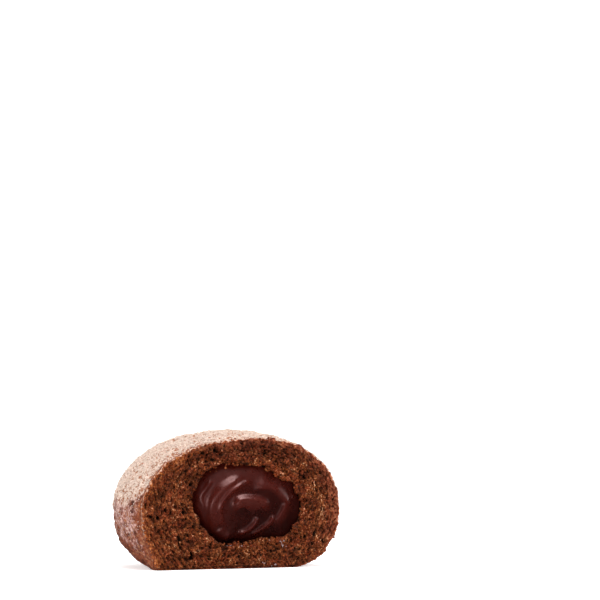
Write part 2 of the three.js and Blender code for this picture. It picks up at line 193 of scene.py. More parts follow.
# The darker band behind the crust, from baking. The pairs are for the foot and the top of the face. The
# last value is the height of a painted contact shadow at the foot
BAKED = (0.2, 0.85)
BAKED_PLACE = (0.8, 2.3)
BAKED_WIDTH = (0.8, 1.5)
BAKED_WAVES = [(2.0, 0.8)]
BAKED_RISE = 16
BAKED_LEFT = 0.3
BAKED_RIGHT = 0.4
FOOT_SHADOW_HEIGHT = 0.75
ORANGE = (0.95, 1.8)  # share and reach of the orange at the left end
# The crust's colour at the crumb's rim: share, and reach up to the far right, where the wider reach also
# paints the sheen of light
RIM = 0.9
RIM_REACH = (1.2, 2.2)
RIM_FROM_LEFT = (-12, 10)
RIM_FROM_FOOT = (3, 6)
# Painted shade on parts that don't show, on the lip and on the pocket's wall
HIDDEN = 0.5
LIP_PAINTED_SHADE = 0.6
WALL_PAINTED_SHADE = 0.9
# The y of noise on the cut face, so that each kind has a pattern of its own
LAYER = {
    "crumb": 0, "across": 1, "up": 2, "ring": 3, "out": 4, "rind": 5, "baked_and_foot_shadow": 6, "back": 7, "holes": 8,
}

# The parts inside of the crust: how far in and how deep they end. The crust's own inside lies
# a little nearer and deeper
PLUG_INSET = 1.2
PLUG_DEPTH = 6.5
CRUST_ROOM = 0.2
CRUST_DEPTH = 1
CRUST_START = 1.2

# How finely the surfaces are divided. Up to CRUST_MIDDLE the crust is a square grid
CRUST_CELLS = 160
CRUST_RINGS = 100
CRUST_MIDDLE = 0.44
FACE_COLUMNS = 800
FACE_RINGS = 104
HOLLOW_RINGS = 6
CREAM_CELLS = 190
SECTION_STEPS = 2880
RIDGE_STEPS = 48
CURVE_STEPS = 20

# Sugar cover at heights, which the mottling moves
SUGAR_MOTTLE = [(9.0, 2.4), (3.5, 2.0), (1.2, 1.1)]
SUGAR_HEIGHTS = (0, 5, 7.5, 13.5, 16.5)
SUGAR_COVER = (0.0, 0.02, 0.34, 0.44, 1.0)
CUBE_SHARE = 0.62  # half a crystal's side, as a share of its size
# Lumps that bulge over the cream: x and z. Each has a few crumbs
LOBES = (
    (5.3, 21.8), (6.7, 21.0), (8.0, 19.9), (9.2, 18.9), (11.0, 20.3), (12.0, 18.9), (10.1, 21.6),
    (13.1, 17.2), (12.2, 16.6), (14.1, 8.9), (12.2, 8.1), (-2.4, 23.3), (0.7, 23.1), (12.6, 24.9),
    (13.4, 24.6), (6.3, 26.6),
)
LOBE_CRUMBS = 6
LOBE_SPREAD = 0.45
LOBE_SIZES = (0.5, 1.3)
# Crumbs round the mouth, up to so many degrees from +X. The spread is a mean and a deviation
MOUTH_CRUMBS = 260
MOUTH_SPAN = 110
MOUTH_SPREAD = (0.3, 0.35)
MOUTH_SIZES = (0.3, 0.8)
# Crumbs on the face, near the crust and all over: count, and how far in as a share
FACE_CRUMBS = ((250, 0.01, 0.06), (650, 0.05, 0.42))
FACE_SIZES = (0.2, 0.55)
CRUMB_PROUD = 0.25  # crumbs in hollows stand at most this far behind the cut
CRUMB_UNEVEN = 0.08
CRUMB_SUNK = 0.45
CRUMB_BEND = [(0.4, 0.14), (0.15, 0.05)]
BEND_SHIFT = 5.0  # moves the pattern for each direction
GROUND_ROOM = 0.02
# Sugar that has fallen onto the cut face: x and z. Each place has a few grains
STRAYS = (
    (5.9, 5.7), (7.0, 5.9), (-1.0, 4.5), (-2.8, 4.7), (9.3, 5.3), (9.7, 4.5), (5.2, 1.0), (7.0, 0.8),
    (9.0, 5.0),
)
STRAY_GRAINS = 3
STRAY_SPREAD = (0.3, 0.2)
STRAY_SIZES = (0.2, 0.4)
STRAY_TINT = (0.36, 0.25, 0.25)
GRAIN_UNEVEN = 0.3
GRAIN_SUNK = 0.3
# Sugar leaves the pits, the cut's edge and the foot bare
PIT_BARENESS = 8
SUGAR_START = (0.1, 0.4)
BARE_FOOT = 0.5
EDGE_FADE = 0.8  # reach of the orange behind the cut
SEED = 11

# The camera: it sees the middle of the cut face's foot at a pixel of the 600 pixel frame
AZIMUTH = math.radians(-25)
ELEVATION = math.radians(3)
CAMERA_DISTANCE = 500.0
CAMERA_AIM = (-0.55, -CUT, 0.0)
AIM_PIXEL = (239.8, 568.7)
FRAME_PIXELS = 600
MM_PER_PIXEL = 0.2064
SENSOR = 36.0
CLIP_START = 0.01

# The light, and the floor with a wall round it, in metres. A light has a name, a place, a
# width, a radiance and the rays that it reaches
WORLD_LIGHT = 0.72
WHITE = 1.1
FLOOR_GLOW = 0.5
FLOOR_HALF = 40.0
WALL_FOOT = -1
BACKDROP = (0.96, 0.96, 0.96, 1)
LIGHTS = [
    ("top_light", (-0.01, -0.13, 0.48), 0.34, 6.0, "diffuse"),
    ("left_light", (-0.45, -0.45, 0.2), 0.2, 3.7, "diffuse"),
    ("right_light", (0.55, -0.06, 0.27), 0.2, 4.0, "diffuse"),
    ("top_front_light", (0.18, -0.46, 0.28), 0.25, 0.8, "diffuse"),
    ("front_left_light", (-0.1, -0.6, 0.12), 0.3, 1.2, "both"),
    ("top_sheen", (0.04, -0.12, 0.43), 0.28, 8.0, "glossy"),
    ("front_sheen", (0.03, -0.31, 0.34), 0.26, 0.5, "glossy"),
    ("left_sheen", (-0.4, -0.4, 0.09), 0.14, 9.0, "glossy"),
    ("right_sheen", (0.5, -0.07, 0.2), 0.2, 2.6, "glossy"),
]


# Repeatable unevenness

def hashed(i, j, k):
    """Numbers from 0 to 1 that depend only on three whole numbers each."""
    i, j, k = (np.asarray(v).astype(np.int64).astype(np.uint32) for v in (i, j, k))
    h = i * np.uint32(374761393) + j * np.uint32(668265263) + k * np.uint32(1440662683)
    h = (h ^ (h >> np.uint32(13))) * np.uint32(1274126177)
    return (h ^ (h >> np.uint32(16))) / 4294967296.0


def mix(a, b, t):
    return a + (b - a) * t


def smooth(t):
    c = np.clip(t, 0, 1)
    return c * c * (3 - 2 * c)


def beyond(place, start, reach):
    """0 up to start, and 1 from a reach farther on."""
    return smooth((place - start) / reach)


def bell(t):
    return np.exp(-(t**2))


def noise(x, y, z, size):
    """Smooth noise from -1 to 1 whose swells are about size across."""
    place = np.stack(np.broadcast_arrays(x, y, z)) / size
    whole = np.floor(place)
    i, j, k = whole
    u, v, w = smooth(place - whole)

    def edge(b, c):
        return mix(hashed(i, j + b, k + c), hashed(i + 1, j + b, k + c), u)

    return 2 * mix(mix(edge(0, 0), edge(1, 0), v), mix(edge(0, 1), edge(1, 1), v), w) - 1


def relief(x, y, z, layers):
    return sum(height * noise(x, y, z, size) for size, height in layers)


def cells_near(spacing, *places):
    """The grid cells at places and beside them, as one array for each direction."""
    whole = [np.floor(v / spacing) for v in places]
    for step in np.ndindex(*[3] * len(places)):
        yield [cell + s - 1 for cell, s in zip(whole, step)]


def seed_of(spacing):
    """A seed of its own for each spacing."""
    return int(spacing * 100)


# The ball

def section_place(angle, y):
    """The place (x, z) on the crust's section at depth y, in the direction angle from +X."""
    back = np.minimum(1, np.abs(y) / HALF_DEPTH)
    narrowing = (1 - back**PLAN_POWER) ** (1 / PLAN_POWER)
    lowering = (1 - back**SIDE_POWER) ** (1 / SIDE_POWER)
    pinch = np.exp(-(y + CUT) / PINCH_REACH)
    fading = np.exp(-(y + CUT) / LEAN_REACH)
    wide = HALF_WIDTH * narrowing * (1 - PINCH_SIDE * pinch)
    lean = LEAN * fading * narrowing
    c, s = np.cos(angle), np.sin(angle)
    across = np.maximum(1e-6, np.where(c > 0, wide - lean, wide + lean))

    def at(pair):
        return mix(pair[1], pair[0], fading)

    upper = np.where(c > 0, at(TOP_RIGHT), at(TOP_LEFT))
    lower = np.where(c > 0, at(BOTTOM_RIGHT), at(BOTTOM_LEFT))
    power = np.where(s > 0, upper, lower)
    foot = mix(at(FOOT_LEFT), at(FOOT_RIGHT), smooth(0.5 + c / (2 * FOOT_BLEND)))
    rise = (TOP - WAIST) * (1 - PINCH_TOP * pinch)
    tall = np.maximum(1e-6, lowering * np.where(s > 0, rise, WAIST + foot))
    reach = (np.abs(c / across) ** power + np.abs(s / tall) ** power) ** (-1 / power)
    ground = WAIST / np.maximum(1e-9, -s)
    reach = np.where(s < 0, np.minimum(reach, ground), reach)
    return lean + reach * c, WAIST + reach * s


def column_angles(count):
    """Directions that divide the cut's outline into equal lengths."""
    angles = np.linspace(0, 2 * math.pi, SECTION_STEPS + 1)
    x, z = section_place(angles, -CUT)
    lengths = np.concatenate([[0], np.cumsum(np.hypot(np.diff(x), np.diff(z)))])
    return np.interp(lengths[-1] * np.arange(count + 1) / count, lengths, angles)


def pits(x, y, z, spacing, radius, share):
    """From 0 to 1, how deep in a pit of one kind places on the crust are."""
    seed = seed_of(spacing)
    deepest = np.zeros_like(x)
    for p, q, r in cells_near(spacing, x, y, z):
        away = [
            (cell + hashed(p + seed, q, r + n)) * spacing - place
            for n, (cell, place) in enumerate(((p, x), (q, y), (r, z)))
        ]
        reach = radius * mix(*PIT_SIZES, hashed(p, q + seed, r))
        near = np.minimum(1, np.linalg.norm(away, axis=0) / reach)
        there = hashed(p, q, r + seed) < share
        deepest = np.maximum(deepest, np.where(there, (1 - near**2) ** 2, 0))
    return deepest


def outward(x, y, z):
    """Unit vectors away from the ball's middle."""
    out = np.stack([x, y, z - WAIST], -1)
    return out / np.linalg.norm(out, axis=-1, keepdims=True)


# From the back of the ball to the cut, in radians
ARC = math.pi / 2 + math.asin(CUT / HALF_DEPTH)


def crust_points(angle, share):
    """Points on the crust: share 1 is the cut's edge and 0 the back of the ball."""
    latitude = math.pi / 2 - share * ARC
    y = HALF_DEPTH * np.sin(latitude)
    x, z = section_place(angle, y)
    rough = relief(x, y, z, CRUST_COARSE) * smooth(z / SMOOTH_FOOT)
    rough = rough + relief(x, y, z, CRUST_FINE) * smooth(z / FINE_FOOT)
    held = smooth((y + CUT) / EDGE_BAND)
    fading = np.exp(-(y + CUT) / RAGGED_REACH)
    torn = fading * smooth(z / FINE_FOOT)
    out = outward(x, y, z) * (rough + RAGGED_OUT * torn * relief(x, LAYER["out"], z, RAGGED))[..., None]
    back = torn * relief(x, LAYER["back"], z, RAGGED) + FOOT_TUCK * fading * (1 - smooth(z / FOOT_ROUND))
    return np.stack([x + out[..., 0], y + out[..., 1] * held + back, np.maximum(0, z + out[..., 2])], -1)


def pitted(points):
    """Crust points sunk where pits are, and how deep in a pit each is."""
    x, y, z = points.reshape(-1, 3).T
    off_edge = smooth((y + CUT) / EDGE_BAND) * smooth(z / FINE_FOOT)
    kinds = [off_edge * pits(x, y, z, spacing, radius, share) for spacing, radius, _, share in PITS]
    sunk = sum(depth * kind for (_, _, depth, _), kind in zip(PITS, kinds))
    return np.stack([x, y, z], -1) - outward(x, y, z) * sunk[:, None], np.max(kinds, axis=0)


# The cut face

def pore_depth(x, z, spacing, narrowest, widest, deepest, share):
    """How far pores of one kind sink the crumb. Towards the crust they are drawn out along it."""
    seed = seed_of(spacing)
    drawn_out, start, over = PORE_STRETCH
    depth = np.zeros_like(x)
    for p, q in cells_near(spacing, x, z):
        px = (p + hashed(p, q, seed + 1)) * spacing
        pz = (q + hashed(p, q, seed + 2)) * spacing
        radius = mix(narrowest, widest, hashed(p, q, seed + 3))
        away = np.stack([px - POCKET_MIDDLE[0], pz - POCKET_MIDDLE[1]])
        reach = np.linalg.norm(away, axis=0) + 1e-9
        across, up = away / reach
        stretch = 1 + drawn_out * beyond(reach / HALF_WIDTH, start, over)
        radial = ((x - px) * across + (z - pz) * up) * stretch
        along = ((z - pz) * across - (x - px) * up) / stretch
        near = np.minimum(1, np.hypot(radial, along) / radius)
        there = hashed(p, q, seed + 5) < share
        deep = deepest * mix(PORE_SHALLOWEST, 1, hashed(p, q, seed + 4)) * np.sqrt(1 - near * near)
        depth = np.maximum(depth, np.where(there, deep, 0))
    return depth


def hole_depth(x, z):
    """How far the larger holes sink the crumb."""
    depth = np.zeros_like(x)
    wavy = relief(x, LAYER["holes"], z, HOLE_WAVES)
    for hole_x, hole_z, radius in HOLES:
        near = np.hypot(x - hole_x, z - hole_z) / radius + wavy
        depth = np.maximum(depth, HOLE_DEPTH * np.sqrt(np.clip(1 - near**2, 0, 1)))
    return depth


def lumps(x, z, spacing):
    """Rounded lumps from 0 in the creases between them to 1 on top."""
    seed = seed_of(spacing) + 7
    nearest = np.full_like(x, np.inf)
    for p, q in cells_near(spacing, x, z):
        px, pz = (p + hashed(p, q, seed)) * spacing, (q + hashed(p, q, seed + 1)) * spacing
        radius = spacing * mix(*LUMP_RADII, hashed(p, q, seed + 2))
        nearest = np.minimum(nearest, np.hypot(x - px, z - pz) / radius)
    return np.sqrt(np.maximum(0, 1 - nearest**2))


def face_relief(x, z, inside):
    """(depth, painted shade) of the crumb at places that lie `inside` of the crust's edge."""
    crumb = smooth((inside - RIND_TUCK) / EDGE_BAND)
    pore = np.max([pore_depth(x, z, *kind) for kind in PORES] + [hole_depth(x, z)], axis=0)
    bent = [v + relief(x, LAYER[way], z, LUMP_BEND) for v, way in ((x, "across"), (z, "up"))]
    heights = [lumps(*bent, size) for size, _ in LUMPS]
    raised = sum(height * (lump - LUMP_LEVEL) for (_, height), lump in zip(LUMPS, heights))
    rough = relief(x, LAYER["crumb"], z, CRUMB_RELIEF) - raised + pore
    # Painted shade: darker in pores and in creases between lumps, with a painted contact shadow at the
    # foot
    painted_shade = PORE_PAINTED_SHADE * pore + CREASE_PAINTED_SHADE * (1 - heights[1]) * (1 - FINE_LIGHT * heights[2])
    dark, height = FOOT_PAINTED_SHADOW
    depth = crumb * rough + RIND_LEVEL * (1 - crumb)
    return -CUT + depth, np.clip(painted_shade + dark * bell(z / height), 0, 1)


def baked_and_foot_shadow(x, z, inside):
    """How much darker the crumb is painted: behind the crust, from baking, most of all at the top, and at
    the foot as a painted contact shadow.
    """
    up = smooth(0.5 + (z - POCKET_MIDDLE[1]) / BAKED_RISE)
    beside = mix(1, BAKED_LEFT, beyond(-x, *LEFT_END)) * mix(1, BAKED_RIGHT, beyond(x, *RIGHT_END))
    behind = inside + relief(x, LAYER["baked_and_foot_shadow"], z, BAKED_WAVES) - mix(*BAKED_PLACE, up)
    band = mix(*BAKED, up) * beside * bell(behind / mix(*BAKED_WIDTH, up))
    # At the foot: a painted contact shadow
    return np.maximum(band, bell(z / FOOT_SHADOW_HEIGHT))


def rim_share(x, z, inside):
    """How much of the crumb's colour is that of the crust's ring, at the top and on the right; the wider
    reach at the far right paints sheen.
    """
    # The wider reach at the far right is painted sheen
    reach = mix(*RIM_REACH, beyond(x, *FAR_RIGHT))
    return RIM * beyond(x, *RIM_FROM_LEFT) * beyond(z, *RIM_FROM_FOOT) * bell(inside / reach)


def orange_share(x, inside):
    """How much of the crumb's colour is orange: the most at the left end, near the crust."""
    share, reach = ORANGE
    return share * beyond(-x, *LEFT_END) * bell(inside / reach)


def face_colours(x, z, inside):
    """Values for the crumb's material, by the names of its attributes."""
    return {"baked_and_foot_shadow": baked_and_foot_shadow(x, z, inside), "left": orange_share(x, inside), "rim": rim_share(x, z, inside)}


# The pocket

def spline(a, b, c, d, t):
    """The value between b and c on a smooth curve through four values in a row."""
    return b + 0.5 * t * (c - a + t * (2 * a - 5 * b + 4 * c - d + t * (3 * (b - c) + d - a)))


def mouth_reach(angle):
    """Reach of the pocket's mouth in a direction: a smooth closed curve, and its tears."""
    n = len(MOUTH)
    turn = (angle / (2 * math.pi)) % 1
    i = np.floor(turn * n).astype(int)
    even = spline(*(np.array(MOUTH)[(i + s) % n] for s in (-1, 0, 1, 2)), turn * n - i)
    return even + sum(reach * bell((turn * 360 - at) / wide) for at, wide, reach in TEARS)


def from_pocket(angle, reach):
    return POCKET_MIDDLE[0] + reach * np.cos(angle), POCKET_MIDDLE[1] + reach * np.sin(angle)


def rim_depth(angle):
    """How deep the cream's edge lies: it is sunk deepest on the left."""
    return SUNK - SUNK_TILT * np.cos(angle)


def hollow_points(angle, turn, inward):
    """Points on the pocket's wall, or inward of it: turn 0 is the cream's edge, 1 the bottom."""
    bend = turn * math.pi / 2
    x, z = from_pocket(angle, (mouth_reach(angle) - inward) * math.cos(bend) ** WALL_POWER)
    depth = mix(rim_depth(angle), POCKET_DEPTH - inward, math.sin(bend) ** BOTTOM_POWER)
    return np.stack([x, depth - CUT, z], -1)


# Closed surfaces

class Surface:
    """Collects points, triangles and one value for each point."""

    def __init__(self):
        self.points, self.triangles, self.values, self.count = [], [], [], 0

    def add(self, points, values=0.0):
        points = points.reshape(-1, 3)
        self.points.append(points)
        self.values.append(np.broadcast_to(np.asarray(values, float).ravel(), len(points)))
        self.count += len(points)
        return np.arange(self.count - len(points), self.count)

    def quads(self, a, b, c, d):
        for corners in ((a, b, c), (a, c, d)):
            self.triangles.append(np.stack([v.ravel() for v in corners], -1))

    def disc(self, cells, points_at):
        """A disc from a square grid. Returns its rim, in order."""
        step = np.arange(cells + 1)
        i, j = np.meshgrid(step, step, indexing="ij")
        u, v = 2 * i / cells - 1, 2 * j / cells - 1
        share = np.maximum(np.abs(u), np.abs(v))
        column = square_column(i, j, share, cells)
        grid = self.add(points_at(column, share)).reshape(cells + 1, cells + 1)
        rim = np.zeros(4 * cells, int)
        outer = share == 1
        rim[np.round(column[outer]).astype(int) % (4 * cells)] = grid[outer]
        a, b, c, d = grid[:-1, :-1], grid[:-1, 1:], grid[1:, 1:], grid[1:, :-1]
        turned = (i[:-1, :-1] < cells / 2) != (j[:-1, :-1] < cells / 2)
        self.quads(a[~turned], b[~turned], c[~turned], d[~turned])
        self.quads(b[turned], c[turned], d[turned], a[turned])
        return rim

    def band(self, ring, points, values=0.0):
        """A band from one ring of points to a new one."""
        new = self.add(points, values)
        self.quads(ring, np.roll(ring, -1), np.roll(new, -1), new)
        return new

    def cap(self, ring, point):
        tip = self.add(point)
        self.triangles.append(np.stack([ring, np.roll(ring, -1), np.broadcast_to(tip, ring.shape)], -1))

    def arrays(self):
        return np.concatenate(self.points), np.concatenate(self.triangles), np.concatenate(self.values)


def square_column(i, j, share, cells):
    """Columns of a square grid's points round its middle, from 0 at +u to 4 * cells."""
    safe = np.where(share == 0, 1, share)
    u, v = (2 * i / cells - 1) / safe, (2 * j / cells - 1) / safe
    side = np.select(
        [u >= 1 - 1e-9, v >= 1 - 1e-9, u <= -1 + 1e-9],
        [(v / 2 + 4) % 4, 1 - u / 2, 2 - v / 2],
        3 + u / 2,
    )
    return np.where(share == 0, 0, side * cells)


# The dough: a crust, and the crumb that fills it

class CutOutline:
    """The cut's outline in columns, and what lies inside of it."""

    def __init__(self, columns):
        self.angles = column_angles(columns)
        angles = self.angles[:-1]
        x, z = section_place(angles, -CUT)
        self.inward = np.arctan2(z - POCKET_MIDDLE[1], x - POCKET_MIDDLE[0])
        edge = crust_points(angles, np.ones_like(angles))
        self.edge, self.forward = edge[:, [0, 2]], edge[:, 1] + CUT
        self.mouth = np.stack(from_pocket(self.inward, mouth_reach(self.inward)), -1)
        self.span = np.linalg.norm(self.edge - self.mouth, axis=1)

    def inset(self, far):
        """Places (x, z) that lie far inside of the edge, towards the pocket."""
        return mix(self.edge, self.mouth, (far / self.span)[:, None])

    def ring(self, far, y):
        """Points far inside of the crust at depth y."""
        share = (math.pi / 2 - math.asin(y / HALF_DEPTH)) / ARC
        x, _, z = crust_points(self.angles[:-1], np.full(len(self.angles) - 1, share)).T
        away = np.stack([x, z - WAIST], -1)
        away *= (1 - far / np.linalg.norm(away, axis=1))[:, None]
        return np.stack([away[:, 0], np.full_like(x, y), away[:, 1] + WAIST], -1)


def at_depth(places, y):
    return np.stack([places[:, 0], np.broadcast_to(y, len(places)), places[:, 1]], -1)


def crust_arrays():
    """(points, triangles, depth in a pit and share of the rind at points, triangles outside)"""
    outline = CutOutline(4 * CRUST_CELLS)
    surface = Surface()
    whole = np.arange(4 * CRUST_CELLS + 1)
    pit = []

    def on_crust(column, share):
        points, deep = pitted(crust_points(np.interp(column, whole, outline.angles), share))
        pit.append(deep)
        return points

    ring = surface.disc(CRUST_CELLS, lambda column, share: on_crust(column, share * CRUST_MIDDLE))
    for r in range(1, CRUST_RINGS + 1):
        share = mix(CRUST_MIDDLE, 1, r / CRUST_RINGS)
        ring = surface.band(ring, on_crust(whole[:-1], np.full(4 * CRUST_CELLS, share)))
    pit = np.concatenate(pit)
    outside = sum(len(part) for part in surface.triangles)
    x, z = outline.edge.T
    width = RIND * (1 + relief(x, LAYER["ring"], z, RIND_WAVES) + RIND_LEFT * beyond(-x, *LEFT_SIDE))
    for far, deep in RIND_STEPS:
        places = outline.inset(far * width)
        fine = relief(places[:, 0], LAYER["rind"], places[:, 1], RIND_RELIEF) * min(1, far / RIND_RISE)
        depth = -CUT + outline.forward * (1 - RIND_EVENING * far) + deep + fine
        ring = surface.band(ring, at_depth(places, depth), far)
    for y in (CRUST_START - CUT, 0, PLUG_DEPTH + CRUST_DEPTH):
        ring = surface.band(ring, outline.ring(PLUG_INSET - CRUST_ROOM, y))
    surface.cap(ring, np.array([[0, PLUG_DEPTH + CRUST_DEPTH, WAIST]]))
    points, triangles, values = surface.arrays()
    return points, triangles, np.pad(pit, (0, len(points) - len(pit))), values, outside


def crumb_arrays():
    """(points, triangles, values at each point)"""
    outline = CutOutline(FACE_COLUMNS)
    surface = Surface()
    farther_in, behind = TUCK_BACK
    ring = surface.add(outline.ring(RIND_TUCK + farther_in, behind - CUT), HIDDEN)
    hidden = {"baked_and_foot_shadow": HIDDEN, "left": 0.0, "rim": 0.0}
    colours = [{key: np.full(FACE_COLUMNS, value) for key, value in hidden.items()}]
    for r in range(FACE_RINGS + 1):
        far = mix(RIND_TUCK, outline.span, r / FACE_RINGS)
        places = outline.inset(far)
        depth, painted_shade = face_relief(*places.T, far)
        held = np.minimum(depth, rim_depth(outline.inward) - CUT - MOUTH_ROOM)
        depth = mix(held, depth, smooth((outline.span - far) / MOUTH_BAND))
        ring = surface.band(ring, at_depth(places, depth), painted_shade)
        colours.append(face_colours(*places.T, far))
    mouth, inward = outline.mouth, outline.inward
    for back, reach in LIP_STEPS:
        ragged = reach * (LIP_HEIGHT + relief(mouth[:, 0], LAYER["crumb"], mouth[:, 1], LIP_RELIEF))
        places = np.stack(from_pocket(inward, mouth_reach(inward) - ragged), -1)
        lip = np.minimum(depth + back * LIP_DEPTH, rim_depth(inward) - CUT - LIP_ROOM)
        ring = surface.band(ring, at_depth(places, lip), LIP_PAINTED_SHADE)
    for r in range(HOLLOW_RINGS):
        ring = surface.band(ring, hollow_points(inward, r / HOLLOW_RINGS, 0), WALL_PAINTED_SHADE)
    surface.cap(ring, hollow_points(np.zeros(1), 1, 0))
    ring = np.arange(FACE_COLUMNS)
    for y in (0, PLUG_DEPTH):
        new = surface.add(outline.ring(PLUG_INSET, y), HIDDEN)
        surface.quads(new, np.roll(new, -1), np.roll(ring, -1), ring)
        ring = new
    tip = surface.add(np.array([[0, PLUG_DEPTH, WAIST]]))
    surface.triangles.append(np.stack([np.roll(ring, -1), ring, np.broadcast_to(tip, ring.shape)], -1))
    points, triangles, painted_shade = surface.arrays()
    values = {key: np.concatenate([each[key] for each in colours]) for key in hidden}
    values = {key: np.pad(value, (0, len(points) - len(value))) for key, value in values.items()}
    return points, triangles, {"painted_shade": painted_shade, **values}


# The chocolate cream

def curve_points(places, steps):
    """Points on a Catmull-Rom curve through places, equally spaced along it."""
    p = np.array(places, float)
    p = np.vstack([2 * p[0] - p[1], p, 2 * p[-1] - p[-2]])
    fine = []
    for i in range(1, len(p) - 2):
        a, b, c, d = p[i - 1 : i + 3]
        fine.append(spline(a, b, c, d, np.linspace(0, 1, CURVE_STEPS, endpoint=False)[:, None]))
    fine = np.vstack(fine + [p[-2:-1]])
    lengths = np.concatenate([[0], np.cumsum(np.linalg.norm(np.diff(fine, axis=0), axis=1))])
    at = np.linspace(0, lengths[-1], steps + 1)
    return np.stack([np.interp(at, lengths, fine[:, k]) for k in (0, 1)], -1)


def swirl_height(x, z):
    """How far the swirl lifts the cream."""
    lifted = np.zeros_like(x)
    for left, right, height, crest, places in RIDGES.values():
        points = curve_points(places, RIDGE_STEPS) + SWIRL_MIDDLE
        nearest, side, along = np.full_like(x, np.inf), np.zeros_like(x), np.zeros_like(x)
        for step, ((sx, sz), (ex, ez)) in enumerate(zip(points[:-1], points[1:])):
            ax, az = ex - sx, ez - sz
            t = np.clip(((x - sx) * ax + (z - sz) * az) / (ax * ax + az * az), 0, 1)
            dx, dz = x - sx - ax * t, z - sz - az * t
            away = dx * dx + dz * dz
            closer = away < nearest
            nearest = np.where(closer, away, nearest)
            side = np.where(closer, np.sign(ax * dz - az * dx), side)
            along = np.where(closer, (step + t) / RIDGE_STEPS, along)
        rise = height * smooth(np.minimum(along, 1 - along) / RIDGE_ENDS)
        off_crest = side * np.sqrt(nearest) - crest
        lifted += rise * bell(off_crest / np.where(off_crest > 0, left, right))
    return lifted


def near_direction(angle, at, wide):
    """1 in the direction at, in degrees, and less the farther a direction is from it."""
    return bell(((np.degrees(angle) - at + 180) % 360 - 180) / wide)


def drawn_back(angle):
    """How much sooner the cream's dome ends, as a share of its reach, in a direction."""
    return sum(far * near_direction(angle, at, wide) for at, wide, far in DRAWN_BACK)


def cream_arrays():
    """(points, triangles, painted light and shade in the cream's colour at each point)"""
    surface = Surface()
    painted_tones = []

    def front(column, share):
        angle = column / (4 * CREAM_CELLS) * 2 * math.pi
        x, z = from_pocket(angle, (mouth_reach(angle) - GAP) * share)
        inner = np.minimum(1, share * (1 + drawn_back(angle)))
        dome = DOME * (1 - inner**DOME_FLATNESS)
        swirl = swirl_height(x, z) * smooth((1 - inner) / SWIRL_EDGE)
        deep, at, wide, start = GROOVE
        groove = near_direction(angle, at, wide) * smooth((share - start) / (1 - start))
        right, up = x - SWIRL_MIDDLE[0], z - SWIRL_MIDDLE[1]
        # Painted light: lighter on the swirl's ridges and on the upper left outside of it
        outside = 1 - bell(np.hypot(right, up) / SWIRL_REACH)
        upper = outside * smooth(0.5 + (up - TONE_SLANT * right) / TONE_FADE)
        tone = RIDGE_PAINTED_LIGHT * swirl * dome / DOME + UPPER_PAINTED_LIGHT * upper
        # Painted shade: darkest in the groove beside the dough
        painted_tones.append((np.clip(tone, 0, 1) * (1 - groove)).ravel())
        edge = mix(SUNK, rim_depth(angle), share**2) + deep * groove
        return np.stack([x, -CUT + edge - dome - swirl, z], -1)

    ring = surface.disc(CREAM_CELLS, front)
    angle = np.arange(4 * CREAM_CELLS) / (4 * CREAM_CELLS) * 2 * math.pi
    for r in range(1, HOLLOW_RINGS):
        ring = surface.band(ring, hollow_points(angle, r / HOLLOW_RINGS, GAP))
    surface.cap(ring, hollow_points(np.zeros(1), 1, GAP))
    points, triangles, _ = surface.arrays()
    return points, triangles[:, ::-1], np.pad(painted_tones[0], (0, len(points) - len(painted_tones[0])))


# Meshes

def frame_origin():
    """The place in the frame, in metres, of the middle of the uncut ball's foot."""
    # The tip of the cream's back is a point that both share
    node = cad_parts["cream"]
    tip = max((node.matrix_world @ v.co for v in node.data.vertices), key=lambda p: p.y)
    known = np.array([POCKET_MIDDLE[0], POCKET_DEPTH - GAP - CUT, POCKET_MIDDLE[1]]) * MM
    return np.array(tip) - known


ORIGIN = frame_origin()


def link(thing):
    bpy.context.scene.collection.objects.link(thing)


def make_piece(name, points, triangles, materials, slot, smooth_shaded=True, values=None):
    """An object of that name from points in millimetres, with point values as attributes."""
    mesh = bpy.data.meshes.new(name)
    place = (points * MM + ORIGIN).astype(np.float32)
    mesh.vertices.add(len(place))
    mesh.vertices.foreach_set("co", place.ravel())
    mesh.loops.add(triangles.size)
    mesh.loops.foreach_set("vertex_index", triangles.astype(np.int32).ravel())
    mesh.polygons.add(len(triangles))
    mesh.polygons.foreach_set("loop_start", np.arange(0, triangles.size, 3, dtype=np.int32))
    mesh.polygons.foreach_set("use_smooth", np.full(len(triangles), smooth_shaded))
    mesh.update(calc_edges=True)
    mesh.validate()
    for key, value in (values or {}).items():
        layer = mesh.attributes.new(key, "FLOAT", "POINT")
        layer.data.foreach_set("value", value.astype(np.float32))
    for material in materials:
        mesh.materials.append(material)
    piece = bpy.data.objects.new(name, mesh)
    link(piece)
    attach(piece, "root")
    return piece


# Materials

